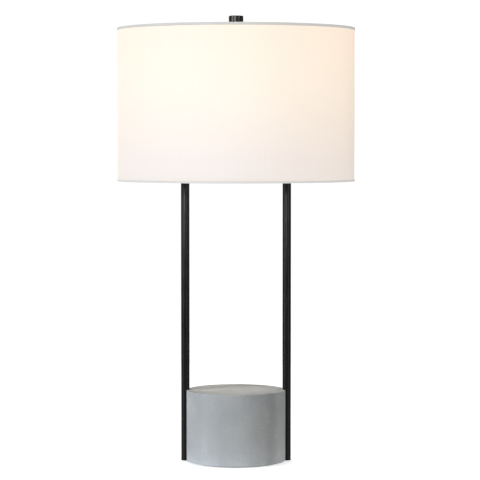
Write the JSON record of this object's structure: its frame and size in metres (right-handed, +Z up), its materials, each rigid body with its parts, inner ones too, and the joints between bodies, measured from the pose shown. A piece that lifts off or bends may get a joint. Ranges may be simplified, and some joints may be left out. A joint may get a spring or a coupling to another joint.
{
  "type": "table lamp",
  "caption": "Table lamp with a drum shade on a harp, two straight upright rods and a cylindrical cast block for a base.",
  "frame": {"origin": "centre of the felt pad's underside, on the floor", "axes": "+Z up along the lamp's axis; the two rods stand on the X axis; the switch knob faces -Y and the cord outlet +Y"},
  "size_m": [0.3556, 0.3556, 0.6686],
  "materials": {
    "felt": "dark felt",
    "concrete": "smooth cast concrete, unsealed",
    "black_steel": "satin black powder coat",
    "zinc_steel": "zinc plated",
    "nickel": "nickel plated wire and strip",
    "white_wire": "white enamel",
    "brass": "plain brass",
    "black_plastic": "moulded phenolic",
    "white_plastic": "nylon moulding",
    "black_rubber": "soft grommet",
    "liner_paper": "waxed insulating card",
    "shade_fabric": "off-white linen, lets light through",
    "shade_liner": "white styrene sheet, lets light through",
    "shade_tape": "off-white edge tape",
    "bulb_glass": "frosted glass",
    "clear_glass": "clear glass",
    "black_glass": "black vitrified insulator",
    "aluminium_cap": "rolled aluminium",
    "tungsten": "drawn wire",
    "live_insulation": "black PVC",
    "neutral_insulation": "white PVC"
  },
  "bodies": {
    "lamp_frame": {"felt_pad": "felt", "base_block": "concrete", "foot_bar": "black_steel", "left_rod": "black_steel", "right_rod": "black_steel", "rod_caps": "black_steel", "crossbar": "black_steel", "threaded_boss": "black_steel", "rod_screws": "zinc_steel", "block_screws": "zinc_steel", "rod_foot_nuts": "zinc_steel", "threaded_stem": "zinc_steel", "lock_washer": "zinc_steel", "hex_nut": "zinc_steel", "clamping_screws": "zinc_steel", "strip_screw": "zinc_steel", "harp_saddle": "nickel", "block_inserts": "brass", "terminal_barrels": "brass", "socket_cap": "brass", "socket_shell": "brass", "screw_shell": "brass", "centre_contact": "brass", "terminal_screws": "brass", "switch_core": "black_plastic", "terminal_strip": "white_plastic", "cord_grommet": "black_rubber", "socket_liner": "liner_paper", "lead_wire_live": "live_insulation", "lead_wire_neutral": "neutral_insulation"},
    "switch": {"switch_shaft": "nickel", "switch_knob": "black_plastic"},
    "bulb_contact": {"bulb_tip": "brass"},
    "bulb": {"bulb_insulator": "black_glass", "bulb_cap": "aluminium_cap", "bulb_glass": "bulb_glass", "bulb_stem": "clear_glass", "bulb_supports": "tungsten", "bulb_filament": "tungsten"},
    "harp": {"harp_loop": "nickel", "harp_hub": "nickel"},
    "left_sleeve": {"left_harp_sleeve": "nickel"},
    "right_sleeve": {"right_harp_sleeve": "nickel"},
    "seat_washer": {"shade_seat_washer": "nickel"},
    "shade": {"shade_fabric": "shade_fabric", "shade_liner": "shade_liner", "top_ring": "white_wire", "bottom_ring": "white_wire", "top_trim": "shade_tape", "bottom_trim": "shade_tape", "spider_hub": "white_wire", "spider_arms": "white_wire"},
    "top_washer": {"finial_washer": "black_steel"},
    "finial": {"finial": "black_steel"}
  },
  "joints": [
    {"name": "switch_turn", "type": "hinge", "parent": "lamp_frame", "child": "switch", "pos_m": [0, -0.02, 0.48545], "axis": [0, -1, 0], "continuous": true},
    {"name": "bulb_rise", "type": "slide", "parent": "lamp_frame", "child": "bulb_contact", "axis": [0, 0, 1], "range_m": [0, 0.0181]},
    {"name": "bulb_turn", "type": "hinge", "parent": "bulb_contact", "child": "bulb", "pos_m": [0, 0, 0.5], "axis": [0, 0, 1], "range_deg": [0, 1800]},
    {"name": "harp_lift", "type": "slide", "parent": "lamp_frame", "child": "harp", "axis": [0, 0, 1], "range_m": [0, 0.025]},
    {"name": "left_sleeve_lift", "type": "slide", "parent": "harp", "child": "left_sleeve", "axis": [0, 0, 1], "range_m": [0, 0.015]},
    {"name": "right_sleeve_lift", "type": "slide", "parent": "harp", "child": "right_sleeve", "axis": [0, 0, 1], "range_m": [0, 0.015]},
    {"name": "shade_lift", "type": "slide", "parent": "harp", "child": "seat_washer", "axis": [0, 0, 1], "range_m": [0, 0.24]},
    {"name": "shade_turn", "type": "hinge", "parent": "seat_washer", "child": "shade", "pos_m": [0, 0, 0.6395], "axis": [0, 0, 1], "continuous": true},
    {"name": "finial_rise", "type": "slide", "parent": "shade", "child": "top_washer", "axis": [0, 0, 1], "range_m": [0, 0.01128]},
    {"name": "finial_turn", "type": "hinge", "parent": "top_washer", "child": "finial", "pos_m": [0, 0, 0.655], "axis": [0, 0, 1], "range_deg": [0, 4320]}
  ],
  "couplings": [
    {"joint": "bulb_turn", "follows": "bulb_rise", "rad_per_m": 1730.9},
    {"joint": "finial_turn", "follows": "finial_rise", "rad_per_m": 6679}
  ]
}
